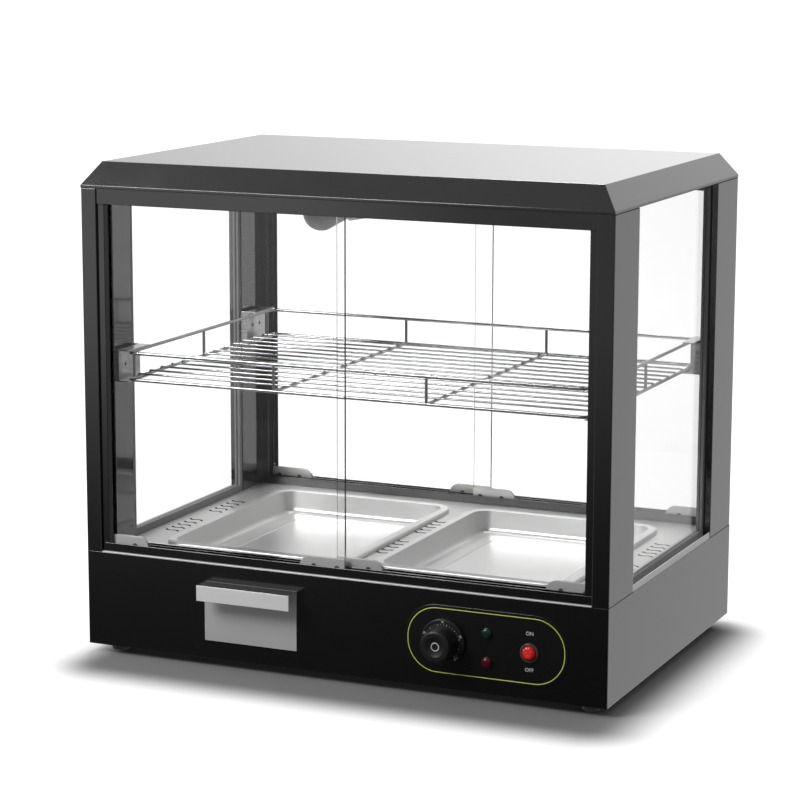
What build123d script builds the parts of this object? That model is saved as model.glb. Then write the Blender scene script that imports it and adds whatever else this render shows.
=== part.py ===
from build123d import *
from math import sqrt
import os

# A counter-top food warmer: a black sheet-metal base with the heaters, a glazed chamber
# on four posts with sliding glass doors front and rear, and a cover with sloped edges.
# Millimetres, +X to the right seen from the front, -Y is the front, +Z up.

# Cabinet
cabinet_width = 660.0
cabinet_depth = 450.0
base_height = 114.0
window_height = 435.0
sheet = 1.2
fold_radius = 2.0
top_flange = 40.0
panel_tab = 20.0
rear_screw_inset = 90.0

# Feet
foot_height = 11.0
foot_top_radius = 12.0
foot_tread_radius = 10.0
foot_edge_radius = 1.5
foot_stud_radius = 3.0
foot_stud_height = 4.0
foot_inset = 28.0

# Cover
cover_lip = 3.0
slope_height = 27.0
slope_inset = 19.0
cover_edge_radius = 0.8
liner_setback = 3.0

# Corner posts
post_width = 20.0
post_depth = 81.0
seam_height = 0.8
seam_depth = 0.6

# Deck plate with its louvre slots
deck_thickness = 1.2
deck_edge = 0.5
deck_upstand = 6.5
slot_width = 3.2
slot_length = 18.5
slot_sag = 2.8
slot_pitch = 15.5
slots_per_group = 5
slot_group_offset = 57.0

# Tracks and jambs for the sliding doors
track_setback = 3.0
track_wall = 1.2
channel_width = 9.0
sill_lip_height = 10.3
track_rib_width = 2.0
header_setback = 1.5
header_face_height = 18.5
header_lip_drop = 12.0
jamb_face_width = 9.0
seal_width = 5.0
seal_thickness = 1.4

# Sliding doors
glass_thickness = 4.0
door_overlap = 14.0
door_edge_gap = 1.8
door_head_gap = 6.0
clip_length = 57.0
clip_height = 16.0
clip_wall = 0.8
clip_corner_radius = 12.0
roller_radius = 4.8
roller_thickness = 3.4
hub_radius = 3.2
hub_gap = 0.25
roller_pitch = 29.5
roller_offset = 4.0
axle_drop = 1.4
clip_skirt = 4.5
web_gap = 0.3
rolling_gap = 0.4
rear_left_door_ajar = 6.0

# Side windows
gasket_width = 10.0
gasket_setback = 9.0
gasket_sill = 9.0
gasket_side = 7.0
gasket_head = 2.0
glass_bite = 5.0
head_rail_height = 8.0
head_rail_setback = 8.0

# Pans
pan_width = 250.0
pan_length = 330.0
pan_gap = 24.0
pan_setback = 5.0
pan_corner_radius = 30.0
pan_rim_width = 10.0
pan_rim_height = 4.8
pan_depth = 27.0
pan_wall = 0.8
pan_taper = 14.0
pan_floor_radius = 8.0
pan_floor_step = 1.2
pan_step_inset = 14.0
pan_fit = 1.0
pan_seat_gap = 0.3

# Wire shelf
shelf_height = 204.0
frame_rod_radius = 2.0
guard_rod_radius = 1.8
shelf_wire_radius = 1.25
shelf_track_gap = 10.4
shelf_side_gap = 21.0
shelf_corner_radius = 8.0
guard_height = 32.0
guard_corner_setback = 15.0
shelf_wire_count = 13
shelf_wire_margin = 26.2
weld_sink = 0.4
bracket_length = 51.0
bracket_thickness = 1.2
bracket_reach = 9.5
bracket_screw_pitch = 19.0

# Screws
screw_radius = 2.0
screw_head_radius = 3.6
screw_head_height = 2.2
screw_length = 8.0
screw_hole_gap = 0.15

# Lamp
bulb_radius = 22.5
bulb_neck_radius = 11.0
bulb_neck_start = 8.0
bulb_neck_reach = 37.0
lamp_drop = 42.0
lamp_tilt = 10.0
lamp_tip_x = -148.0
lamp_y = 0.0
lamp_cap_length = 12.0
lamp_cap_radius = 7.0
holder_radius = 15.0
holder_length = 36.0
lamp_bracket_width = 24.0

# Water and crumb drawer
drawer_inset = 219.0
drawer_plate_width = 120.0
drawer_plate_low = 22.0
drawer_plate_height = 71.0
handle_reach = 22.0
handle_lip = 18.5
drawer_box_width = 106.0
drawer_box_length = 196.0
drawer_box_height = 40.0
drawer_box_low = 30.0
drawer_sheet = 1.0
drawer_gap = 0.5
runner_leg = 9.0
runner_wall = 1.5

# Controls
plate_inset = 145.0
plate_width = 198.0
plate_height = 83.0
plate_low = 14.5
plate_corner_radius = 40.0
plate_thickness = 0.8
knob_offset = 51.0
knob_z = 55.0
knob_skirt_radius = 27.0
knob_skirt_height = 4.0
knob_grip_radius = 20.0
knob_face_radius = 18.0
knob_height = 26.6
knob_edge_radius = 2.5
knob_dish_radius = 11.6
knob_dish_depth = 2.6
knob_gap = 0.6
shaft_radius = 3.0
shaft_gap = 0.4
indicator_offset = 2.0
green_indicator_z = 71.0
red_indicator_z = 37.0
indicator_radius = 6.3
indicator_barrel_radius = 4.0
indicator_barrel_length = 20.0
indicator_dome = 5.0
switch_offset = 53.0
switch_z = 54.0
bezel_radius = 11.2
bezel_height = 2.0
switch_barrel_radius = 10.0
switch_barrel_length = 24.0
switch_well_radius = 8.8
switch_well_depth = 7.0
rocker_radius = 8.0
rocker_thickness = 5.0
rocker_rise = 3.5
rocker_rest_tilt = 9.0
pivot_radius = 1.0
pivot_gap = 0.3

# Thermostat behind the front panel
thermostat_size = 34.0
thermostat_length = 30.0
shaft_depth = 12.0
sensor_radius = 3.0
sensor_length = 70.0
sensor_deck_gap = 0.3
capillary_radius = 1.0
capillary_bend = 12.0

# Heaters under the pans
heater_radius = 4.0
heater_sleeve_radius = 5.2
heater_sleeve_length = 20.0
heater_side_inset = 55.0
heater_end_inset = 45.0
heater_pan_gap = 3.0
heater_bend_radius = 22.0
heater_bar_width = 12.0
heater_bar_side_inset = 20.0
heater_bar_end_inset = 70.0
heater_foot = 14.0
heater_bar_sheet = 1.5

# Rear services
gland_inset = 80.0
gland_z = 46.0
gland_reach = 14.0
gland_radius = 10.0
gland_dome_radius = 8.0
gland_thread_radius = 7.0
gland_bore_radius = 4.0
vent_count = 8
vent_length = 60.0
vent_width = 4.0
vent_pitch = 14.0
rear_vent_x = 100.0
floor_vent_x = 60.0
terminal_width = 62.0
terminal_depth = 20.0
terminal_height = 16.0
terminal_count = 5

# Levels and faces that follow from the sizes above
base_floor = foot_height
deck_bottom = base_floor + base_height
deck_top = deck_bottom + deck_thickness
post_top = deck_bottom + window_height
half_width = cabinet_width / 2
half_depth = cabinet_depth / 2
post_inner_x = half_width - post_width
post_inner_y = half_depth - post_depth
panel_face = -half_depth
plate_front = panel_face - plate_thickness
track_face = half_depth - track_setback
outer_channel = track_face - track_wall - channel_width / 2
inner_channel = outer_channel - channel_width - track_wall
track_back = inner_channel - channel_width / 2 - track_wall
sill_lip_top = deck_top + sill_lip_height
header_bottom = post_top - header_face_height
axle_z = sill_lip_top - axle_drop
clip_bottom = axle_z - clip_skirt
clip_top = clip_bottom + clip_height
glass_bottom = axle_z + roller_radius + web_gap + clip_wall
glass_top = post_top - track_wall - door_head_gap
door_outer_edge = post_inner_x - track_wall - door_edge_gap
gasket_outer_x = half_width - gasket_setback
gasket_inner_x = gasket_outer_x - gasket_width
side_glass_x = gasket_outer_x - gasket_width / 2
rim_bottom = deck_top + pan_seat_gap
rim_top = rim_bottom + pan_rim_height
pan_floor = rim_top - pan_depth
heater_z = pan_floor - pan_wall - heater_pan_gap - heater_radius
shelf_z = deck_top + shelf_height
shelf_half_width = post_inner_x - shelf_side_gap
guard_z = shelf_z + guard_height
bracket_screw_z = shelf_z + guard_height / 2
shelf_half_depth = track_back - shelf_track_gap
shelf_wire_pitch = 2 * (shelf_half_depth - shelf_wire_margin) / (shelf_wire_count - 1)
guard_bay = 2 * shelf_half_width / 3
pan_spacing = pan_width + pan_gap
pan_outer_x = pan_gap / 2 + pan_width
side_slots_x = (pan_outer_x + post_inner_x) / 2
rear_screw_x = half_width - rear_screw_inset
drawer_x = drawer_inset - half_width
plate_x = half_width - plate_inset
knob_x = plate_x - knob_offset
indicator_x = plate_x + indicator_offset
switch_x = plate_x + switch_offset
gland_x = half_width - gland_inset
heater_half_span = pan_width / 2 - heater_side_inset
heater_reach = pan_length / 2 - heater_end_inset
heater_bar_half_span = pan_width / 2 - heater_bar_side_inset
heater_bar_y = pan_length / 2 - heater_bar_end_inset
front_reach = max(handle_reach, plate_thickness + knob_gap + knob_height)
centre_shift = (front_reach - gland_reach) / 2


def block(x0, x1, y0, y1, z0, z1):
    """A box between two corners, given in any order."""
    middle = ((x0 + x1) / 2, (y0 + y1) / 2, (z0 + z1) / 2)
    return Pos(*middle) * Box(abs(x1 - x0), abs(y1 - y0), abs(z1 - z0))


def rod(start, end, radius):
    """A round bar between two points."""
    line = Vector(*end) - Vector(*start)
    return extrude(Plane(origin=start, z_dir=line) * Circle(radius), amount=line.length)


def upright(x, y, z, direction):
    """A plane that faces the rear with 1 or the front with -1, its own X along the cabinet."""
    return Plane(origin=(x, y, z), x_dir=(1, 0, 0), z_dir=(0, direction, 0))


def y_rod(x, z, radius, y0, y1):
    """A round bar along Y."""
    return rod((x, min(y0, y1), z), (x, max(y0, y1), z), radius)


def rounded_plate(width, length, radius, z0, z1):
    """A plate with rounded corners about the origin."""
    return extrude(Pos(0, 0, z0) * RectangleRounded(width, length, radius), amount=z1 - z0)


def screw(x, y, z, direction, length):
    """A pan-head screw: its head sits on x, y, z and its shank runs against direction."""
    seat = Plane(origin=(x, y, z), z_dir=direction)
    head = extrude(seat * Circle(screw_head_radius), amount=screw_head_height)
    outer_edge = head.edges().filter_by(GeomType.CIRCLE).sort_by(Axis((x, y, z), direction))[-1]
    head = fillet(outer_edge, screw_head_height / 2)
    return head + extrude(seat * Circle(screw_radius), amount=-length)


def screw_hole(x, y, z, direction):
    """The drilling for such a screw, long enough for the sheets that it joins."""
    seat = Plane(origin=(x, y, z), z_dir=direction)
    return extrude(seat * Circle(screw_radius + screw_hole_gap), amount=screw_length, both=True)


def group(parts):
    """Separate solids that share one name."""
    return Compound([solid for part in parts for solid in part.solids()])


# Base

def drawer_opening():
    """The hole in the front panel that the drawer's box slides through."""
    x = drawer_box_width / 2 + drawer_gap
    z0 = base_floor + drawer_box_low - drawer_gap
    z1 = base_floor + drawer_box_low + drawer_box_height + drawer_gap
    return block(drawer_x - x, drawer_x + x, panel_face - 1, panel_face + 2 * sheet, z0, z1)


def control_holes():
    """The drillings that the front panel and the control plate share."""
    y0 = plate_front - 1
    y1 = panel_face + 2 * sheet
    holes = [y_rod(knob_x, base_floor + knob_z, shaft_radius + shaft_gap, y0, y1)]
    for z in (green_indicator_z, red_indicator_z):
        holes.append(y_rod(indicator_x, base_floor + z, indicator_barrel_radius, y0, y1))
    holes.append(y_rod(switch_x, base_floor + switch_z, switch_barrel_radius, y0, y1))
    return holes


def rear_screw_places():
    """The three screws along the top of the rear panel, as x, z pairs."""
    z = deck_bottom - sheet - panel_tab / 2
    return [(x, z) for x in (-rear_screw_x, 0.0, rear_screw_x)]


def foot_places():
    x = half_width - foot_inset
    y = half_depth - foot_inset
    return [(sx * x, sy * y) for sx in (-1, 1) for sy in (-1, 1)]


def base_shell():
    """Front, sides and top flange folded from one sheet, open below and behind."""
    outer = block(-half_width, half_width, -half_depth, half_depth, base_floor, deck_bottom)
    front_corners = outer.edges().filter_by(Axis.Z).sort_by(Axis.Y)[:2]
    outer = fillet(front_corners, fold_radius)
    inner_x = half_width - sheet
    inner_y = half_depth - sheet
    inner = block(-inner_x, inner_x, -inner_y, half_depth + 1, base_floor - 1, deck_bottom - sheet)
    window_x = half_width - top_flange
    window_y = half_depth - top_flange
    window = block(-window_x, window_x, -window_y, window_y, deck_bottom - 2 * sheet, deck_bottom + 1)
    tab = block(-inner_x, inner_x, inner_y - sheet, inner_y, deck_bottom - sheet - panel_tab, deck_bottom)
    shell = outer - inner - window - drawer_opening() + tab
    for hole in control_holes():
        shell = shell - hole
    for x, z in rear_screw_places():
        shell = shell - screw_hole(x, half_depth, z, (0, 1, 0))
    return shell


def bottom_plate():
    """The floor of the base, with a slotted vent field and holes for the feet."""
    x = half_width - sheet
    y = half_depth - sheet
    plate = block(-x, x, -y, y, base_floor, base_floor + sheet)
    for i in range(vent_count):
        y = (i - (vent_count - 1) / 2) * vent_pitch
        slot = Pos(floor_vent_x, y, base_floor) * SlotOverall(vent_length, vent_width)
        plate = plate - extrude(slot, amount=sheet)
    for x, y in foot_places():
        plate = plate - rod((x, y, 0), (x, y, base_floor + 2 * sheet), foot_stud_radius + screw_hole_gap)
    return plate


def rubber_feet():
    """Four tapered feet, each with a stud up through the bottom plate."""
    feet = []
    for x, y in foot_places():
        cone = Pos(x, y, foot_height / 2) * Cone(foot_tread_radius, foot_top_radius, foot_height)
        tread = cone.edges().filter_by(GeomType.CIRCLE).sort_by(Axis.Z)[0]
        cone = fillet(tread, foot_edge_radius)
        stud = rod((x, y, foot_height / 2), (x, y, base_floor + foot_stud_height), foot_stud_radius)
        feet.append(cone + stud)
    return group(feet)


def base_rear_panel():
    """The panel that closes the base behind, with vent slots and the gland's hole."""
    x = half_width - sheet
    z0 = base_floor + sheet
    z1 = deck_bottom - sheet
    panel = block(-x, x, half_depth - sheet, half_depth, z0, z1)
    for i in range(vent_count):
        vent_x = rear_vent_x + (i - (vent_count - 1) / 2) * vent_pitch
        middle = upright(vent_x, half_depth, (z0 + z1) / 2, 1)
        slot = middle * SlotOverall(vent_length, vent_width, rotation=90)
        panel = panel - extrude(slot, amount=2 * sheet, both=True)
    for x, z in rear_screw_places():
        panel = panel - screw_hole(x, half_depth, z, (0, 1, 0))
    z = base_floor + gland_z
    return panel - y_rod(gland_x, z, gland_thread_radius, half_depth - 5, half_depth + 1)


def rear_panel_screws():
    return group(screw(x, half_depth, z, (0, 1, 0), screw_length) for x, z in rear_screw_places())


# Deck

def louvre_slot():
    """One S-shaped slot, lying along X about the origin."""
    half = slot_length / 2
    left = ThreePointArc((-half, slot_sag), (-half / 2, -slot_sag / 3), (0, 0))
    right = ThreePointArc((0, 0), (half / 2, slot_sag / 3), (half, -slot_sag))
    return SlotArc(left, slot_width) + SlotArc(right, slot_width)


def slot_places():
    """Three strips of slots, each with a front and a rear group."""
    strips = (-side_slots_x, 0.0, side_slots_x)
    half_run = (slots_per_group - 1) / 2
    steps = [(i - half_run) * slot_pitch for i in range(slots_per_group)]
    centres = (-pan_setback - slot_group_offset, -pan_setback + slot_group_offset)
    return [(x, y + step) for x in strips for y in centres for step in steps]


def deck_panel():
    """The stainless top of the base: notched round the posts, cut for pans and louvres,
    and turned up along the side windows."""
    x_edge = half_width - deck_edge
    y_edge = half_depth - deck_edge
    deck = block(-x_edge, x_edge, -y_edge, y_edge, deck_bottom, deck_top)
    for sx in (-1, 1):
        for sy in (-1, 1):
            deck = deck - block(sx * post_inner_x, sx * cabinet_width, sy * post_inner_y,
                                sy * cabinet_depth, deck_bottom - 1, deck_top + 1)
    opening = rounded_plate(pan_width - 2 * pan_rim_width + 2 * pan_fit,
                            pan_length - 2 * pan_rim_width + 2 * pan_fit,
                            pan_corner_radius - pan_rim_width + pan_fit, deck_bottom - 1, deck_top + 1)
    for sx in (-1, 1):
        deck = deck - Pos(sx * pan_spacing / 2, -pan_setback, 0) * opening
    slot = extrude(louvre_slot(), amount=deck_thickness + 2)
    deck = deck - [Pos(x, y, deck_bottom - 1) * slot for x, y in slot_places()]
    for side in (-1, 1):
        deck = deck + block(side * x_edge, side * (x_edge - deck_thickness), -post_inner_y,
                            post_inner_y, deck_bottom, deck_top + deck_upstand)
    return deck


def pan(side):
    """A shallow pressed tray with a rolled rim that rests on the deck."""
    mouth_width = pan_width - 2 * pan_rim_width
    mouth_length = pan_length - 2 * pan_rim_width
    mouth_radius = pan_corner_radius - pan_rim_width

    def bowl(inset, bottom, radius):
        """The tapered inside or outside of the tray, rounded along its floor."""
        mouth = Pos(0, 0, rim_top) * RectangleRounded(mouth_width - 2 * inset, mouth_length - 2 * inset,
                                                      mouth_radius - inset)
        body = extrude(mouth, amount=-(rim_top - bottom), taper=pan_taper)
        return fillet(body.faces().sort_by(Axis.Z)[0].edges(), radius)

    rim = rounded_plate(pan_width, pan_length, pan_corner_radius, rim_bottom, rim_top)
    rim = fillet(rim.faces().sort_by(Axis.Z)[-1].edges(), pan_rim_height / 2)
    hollow = rounded_plate(pan_width - 2 * pan_wall, pan_length - 2 * pan_wall,
                           pan_corner_radius - pan_wall, rim_bottom, rim_top - pan_wall)
    outside = bowl(0, pan_floor - pan_wall, pan_floor_radius + pan_wall)
    inside = bowl(pan_wall, pan_floor, pan_floor_radius)
    tray = rim - hollow + outside - inside
    step_width = mouth_width - 2 * pan_step_inset - 2 * pan_floor_radius
    step_length = mouth_length - 2 * pan_step_inset - 2 * pan_floor_radius
    step = rounded_plate(step_width, step_length, mouth_radius, pan_floor - pan_wall, pan_floor + pan_floor_step)
    tray = tray + step
    under = rounded_plate(step_width - 2 * pan_wall, step_length - 2 * pan_wall, mouth_radius - pan_wall,
                          pan_floor - pan_wall, pan_floor + pan_floor_step - pan_wall)
    tray = tray - under
    return Pos(side * pan_spacing / 2, -pan_setback, 0) * tray


# Posts, tracks and jambs

def corner_post(side, end):
    """A closed box section with a fine seam under the cover and holes for the bracket's screws."""
    x0, x1 = side * post_inner_x, side * half_width
    y0, y1 = end * post_inner_y, end * half_depth
    post = block(x0, x1, y0, y1, deck_bottom, post_top)
    outer_edge = post.edges().filter_by(Axis.Z).sort_by_distance((x1, y1, post_top))[0]
    post = fillet(outer_edge, fold_radius)
    post = post - block(x0 + side * sheet, x1 - side * sheet, y0 + end * sheet, y1 - end * sheet,
                        deck_bottom, post_top)
    seam_low = post_top - seam_height
    post = post - block(x1, x1 - side * seam_depth, y0, y1, seam_low, post_top)
    post = post - block(x0, x1, y1, y1 - end * seam_depth, seam_low, post_top)
    for y in bracket_screw_ys(end):
        post = post - screw_hole(x0, y, bracket_screw_z, (-side, 0, 0))
    return post


def sill_track(end):
    """The lower track: three lips, two channels and a rib for the rollers in each."""
    x = post_inner_x
    track = block(-x, x, end * track_face, end * track_back, deck_top, deck_top + track_wall)
    for wall in (track_face, outer_channel - channel_width / 2, track_back + track_wall):
        track = track + block(-x, x, end * wall, end * (wall - track_wall), deck_top, sill_lip_top)
    rib_top = axle_z - roller_radius - rolling_gap
    for channel in (outer_channel, inner_channel):
        y0 = end * (channel - track_rib_width / 2)
        y1 = end * (channel + track_rib_width / 2)
        track = track + block(-x, x, y0, y1, deck_top, rib_top)
    return track


def header_track(end):
    """The upper track: a deep front face and two lips, hung under the ceiling liner."""
    x = post_inner_x
    face = half_depth - header_setback
    track = block(-x, x, end * face, end * track_back, post_top - track_wall, post_top)
    track = track + block(-x, x, end * face, end * (face - track_wall), header_bottom, post_top)
    for wall in (outer_channel - channel_width / 2, track_back + track_wall):
        lip_bottom = post_top - header_lip_drop
        track = track + block(-x, x, end * wall, end * (wall - track_wall), lip_bottom, post_top)
    return track


def door_jamb(side, end):
    """The upright channel that hides the outer edges of both doors."""
    x0 = side * post_inner_x
    x1 = side * (post_inner_x - track_wall)
    x2 = side * (post_inner_x - jamb_face_width)
    z0, z1 = sill_lip_top, header_bottom
    web = block(x0, x1, end * track_face, end * track_back, z0, z1)
    face = block(x0, x2, end * track_face, end * (track_face - track_wall), z0, z1)
    back = block(x0, x2, end * track_back, end * (track_back + track_wall), z0, z1)
    return web + face + back


def jamb_seal(side, end):
    """The dark lip on the jamb, outside the outer door and inside the inner one."""
    x0 = side * (post_inner_x - jamb_face_width)
    x1 = x0 - side * seal_width
    outer = track_face - seal_thickness / 4
    inner = track_back + seal_thickness / 4
    y0, y1 = (outer, outer - seal_thickness) if side < 0 else (inner, inner + seal_thickness)
    return block(x0, x1, end * y0, end * y1, sill_lip_top, header_bottom)


def corners(make):
    return group(make(side, end) for side in (-1, 1) for end in (-1, 1))


# Side windows

def window_block(side, half_thickness, margin, top):
    """A block through a side window, wider and lower than its daylight by the margin."""
    x = side * side_glass_x
    y = post_inner_y - gasket_side + margin
    low = deck_top + gasket_sill - margin
    return block(x - half_thickness, x + half_thickness, -y, y, low, top)


def side_glass(side):
    return window_block(side, glass_thickness / 2, glass_bite, post_top + glass_bite)


def side_gasket(side):
    """A channel gasket round the pane, between the posts and on the deck."""
    ring = block(side * gasket_inner_x, side * gasket_outer_x, -post_inner_y, post_inner_y,
                 deck_top, post_top)
    daylight = window_block(side, gasket_width, 0, post_top - gasket_head)
    return ring - daylight - side_glass(side)


def head_rail(side):
    """The rail over a side window, on the posts' tops, grooved for the pane."""
    y = half_depth - head_rail_setback
    top = post_top + head_rail_height
    rail = block(side * gasket_inner_x, side * gasket_outer_x, -y, y, post_top, top)
    return rail - side_glass(side)


# Cover

def cover_solid(inset):
    """The outside of the cover, or the space inside it with the sheet as the inset."""
    width = cabinet_width - 2 * inset
    length = cabinet_depth - 2 * inset
    low = post_top + cover_lip
    high = low + slope_height - inset
    lip = extrude(Pos(0, 0, post_top) * Rectangle(width, length), amount=cover_lip)
    top = Rectangle(width - 2 * slope_inset, length - 2 * slope_inset)
    slopes = loft([Pos(0, 0, low) * Rectangle(width, length), Pos(0, 0, high) * top])
    return lip + slopes


def top_cover():
    """One folded sheet: flat top, four sloped edges and a short upright lip."""
    outside = cover_solid(0)
    outside = fillet(outside.faces().sort_by(Axis.Z)[-1].edges(), cover_edge_radius)
    return outside - cover_solid(sheet)


def ceiling_liner():
    """The ceiling of the chamber, on the header tracks between the head rails."""
    x = gasket_inner_x
    y = half_depth - liner_setback
    return block(-x, x, -y, y, post_top, post_top + sheet)


# Wire shelf

def rounded_frame(z):
    """A rod bent to the shelf's outline."""
    outline = RectangleRounded(2 * shelf_half_width, 2 * shelf_half_depth, shelf_corner_radius)
    path = (Pos(0, 0, z) * outline).face().outer_wire()
    profile = Plane(origin=path @ 0, z_dir=path % 0) * Circle(frame_rod_radius)
    return sweep(profile, path)


def wire_shelf():
    """Two bent frames, cross rods, guard uprights and the long wires, welded together."""
    r = frame_rod_radius
    x, y = shelf_half_width, shelf_half_depth
    parts = [rounded_frame(shelf_z), rounded_frame(guard_z)]
    bay = guard_bay / 2
    for sx in (-1, 1):
        parts.append(rod((sx * bay, -y, shelf_z), (sx * bay, y, shelf_z), r))
        for sy in (-1, 1):
            parts.append(rod((sx * bay, sy * y, shelf_z), (sx * bay, sy * y, guard_z), guard_rod_radius))
            corner_y = sy * (y - guard_corner_setback)
            parts.append(rod((sx * x, corner_y, shelf_z), (sx * x, corner_y, guard_z), guard_rod_radius))
        parts.append(rod((sx * x, 0, shelf_z), (sx * x, 0, guard_z), guard_rod_radius))
    wire_z = shelf_z + r + shelf_wire_radius - weld_sink
    reach = x + r / 2
    for i in range(shelf_wire_count):
        wire_y = (i - (shelf_wire_count - 1) / 2) * shelf_wire_pitch
        parts.append(rod((-reach, wire_y, wire_z), (reach, wire_y, wire_z), shelf_wire_radius))
    return parts[0].fuse(*parts[1:])


def bracket_span(end):
    """The bracket's two ends along Y, outer first."""
    outer = shelf_half_depth + frame_rod_radius
    return end * outer, end * (outer - bracket_length)


def bracket_screw_ys(end):
    y0, y1 = bracket_span(end)
    middle = (y0 + y1) / 2
    return (middle - bracket_screw_pitch / 2, middle + bracket_screw_pitch / 2)


def shelf_bracket(side, end):
    """A channel on the post whose plate has a hook over the guard rod and a foot under the frame."""
    y0, y1 = bracket_span(end)
    face_x = side * post_inner_x
    inner_x = face_x - side * bracket_reach
    plate_x = inner_x + side * bracket_thickness
    rod_reach = side * (shelf_half_width - frame_rod_radius)
    low = shelf_z - frame_rod_radius - bracket_thickness
    high = guard_z + frame_rod_radius + bracket_thickness
    plate = block(plate_x, inner_x, y0, y1, low, high)
    outer_wall = block(face_x, inner_x, y0, y0 - end * bracket_thickness, low, high)
    inner_wall = block(face_x, inner_x, y1, y1 + end * bracket_thickness, low, high)
    hook = block(plate_x, rod_reach, y0, y1, high - bracket_thickness, high)
    foot = block(plate_x, rod_reach, y0, y1, low, low + bracket_thickness)
    bracket = plate + outer_wall + inner_wall + hook + foot
    for y in bracket_screw_ys(end):
        bracket = bracket - screw_hole(inner_x, y, bracket_screw_z, (-side, 0, 0))
    return bracket


def shelf_screws():
    screws = []
    for side in (-1, 1):
        x = side * (post_inner_x - bracket_reach)
        for end in (-1, 1):
            for y in bracket_screw_ys(end):
                screws.append(screw(x, y, bracket_screw_z, (-side, 0, 0), bracket_reach + screw_length))
    return group(screws)


# Lamp

def lamp_part(shape):
    """A shape drawn with the globe's middle as origin and its neck along X, set at the lamp's tilt."""
    return Pos(lamp_tip_x + bulb_radius, lamp_y, post_top - lamp_drop) * Rot(0, -lamp_tilt, 0) * shape


def lamp_bulb():
    """A frosted globe with a tapered neck that rises to the holder."""
    middle = Plane(origin=(0, 0, 0), z_dir=(1, 0, 0))
    wide_radius = sqrt(bulb_radius ** 2 - bulb_neck_start ** 2)
    wide = middle.offset(bulb_neck_start) * Circle(wide_radius)
    narrow = middle.offset(bulb_neck_reach) * Circle(bulb_neck_radius)
    return lamp_part(Sphere(bulb_radius) + loft([wide, narrow]))


def cap_cylinder():
    """The space of the bulb's screw cap, just past the neck."""
    return rod((bulb_neck_reach, 0, 0), (bulb_neck_reach + lamp_cap_length, 0, 0), lamp_cap_radius)


def lamp_cap():
    """The bulb's screw cap, inside the holder."""
    return lamp_part(cap_cylinder())


def lamp_holder():
    """The ceramic holder that grips the cap."""
    body = rod((bulb_neck_reach, 0, 0), (bulb_neck_reach + holder_length, 0, 0), holder_radius)
    return lamp_part(body - cap_cylinder())


def lamp_bracket():
    """A leaning plate that hangs the holder from a tab under the ceiling liner."""
    back = bulb_neck_reach + holder_length
    half = lamp_bracket_width / 2
    plate = lamp_part(block(back, back + sheet, -half, half, -half, lamp_drop))
    under_ceiling = plate & block(-half_width, half_width, -half_depth, half_depth, 0, post_top)
    x = under_ceiling.faces().sort_by(Axis.Z)[-1].center().X
    tab = block(x - lamp_bracket_width, x, lamp_y - half, lamp_y + half, post_top - sheet, post_top)
    return under_ceiling + tab


# Sliding doors: the left-hand ones run in the outer channel, the right-hand in the inner

def door_line(side, end):
    """The middle plane of a door's pane."""
    return end * (outer_channel if side < 0 else inner_channel)


def door_rest(side, end):
    """How far a door stands from its closed place: one rear door is left slightly open."""
    return rear_left_door_ajar if side < 0 and end > 0 else 0.0


def door_glass(side, end):
    y = door_line(side, end)
    half = glass_thickness / 2
    x0, x1 = side * door_outer_edge, -side * door_overlap / 2
    pane = block(x0, x1, y - half, y + half, glass_bottom, glass_top)
    return Pos(door_rest(side, end), 0, 0) * pane


def clip_places(side, end):
    """Each clip's outer end along X and the direction towards the door's middle."""
    rest = door_rest(side, end)
    return [(side * door_outer_edge + rest, -side), (-side * door_overlap / 2 + rest, side)]


def roller_xs(x_end, inward):
    middle = x_end + inward * (clip_length / 2 - roller_offset)
    return (middle - roller_pitch / 2, middle + roller_pitch / 2)


def door_clips(side, end):
    """Two folded clips that hold the pane's lower corners and carry the rollers."""
    y = door_line(side, end)
    half = glass_thickness / 2
    clips = []
    for x_end, inward in clip_places(side, end):
        x_in = x_end + inward * clip_length
        clip = block(x_end, x_in, y - half - clip_wall, y + half + clip_wall, clip_bottom, clip_top)
        round_edge = clip.edges().filter_by(Axis.Y).sort_by_distance((x_in, y, clip_top))[0]
        clip = fillet(round_edge, clip_corner_radius)
        clip = clip - block(x_end, x_in, y - half, y + half, glass_bottom, clip_top)
        clip = clip - block(x_end, x_in, y - half, y + half, clip_bottom, glass_bottom - clip_wall)
        for x in roller_xs(x_end, inward):
            clip = clip - y_rod(x, axle_z, hub_radius + hub_gap, y - clip_length, y + clip_length)
        clips.append(clip)
    return group(clips)


def door_rollers(side, end):
    """Four rollers, each with a hub that turns in the clip's walls."""
    y = door_line(side, end)
    hub = glass_thickness / 2 + clip_wall
    rollers = []
    for x_end, inward in clip_places(side, end):
        for x in roller_xs(x_end, inward):
            disc = y_rod(x, axle_z, roller_radius, y - roller_thickness / 2, y + roller_thickness / 2)
            rollers.append(disc + y_rod(x, axle_z, hub_radius, y - hub, y + hub))
    return group(rollers)


# Drawer

def drawer_front():
    """A plate over the opening, its top folded forward and down as the handle."""
    x0 = drawer_x - drawer_plate_width / 2
    x1 = drawer_x + drawer_plate_width / 2
    z0 = base_floor + drawer_plate_low
    z1 = z0 + drawer_plate_height
    back = panel_face - drawer_gap
    front = panel_face - handle_reach
    plate = block(x0, x1, back, back - drawer_sheet, z0, z1)
    shelf = block(x0, x1, back, front, z1 - drawer_sheet, z1)
    lip = block(x0, x1, front, front + drawer_sheet, z1 - handle_lip, z1)
    handle = plate + shelf + lip
    folds = handle.edges().filter_by(Axis.X).group_by(Axis.Z)[-1]
    return fillet(folds, drawer_sheet / 2)


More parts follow.
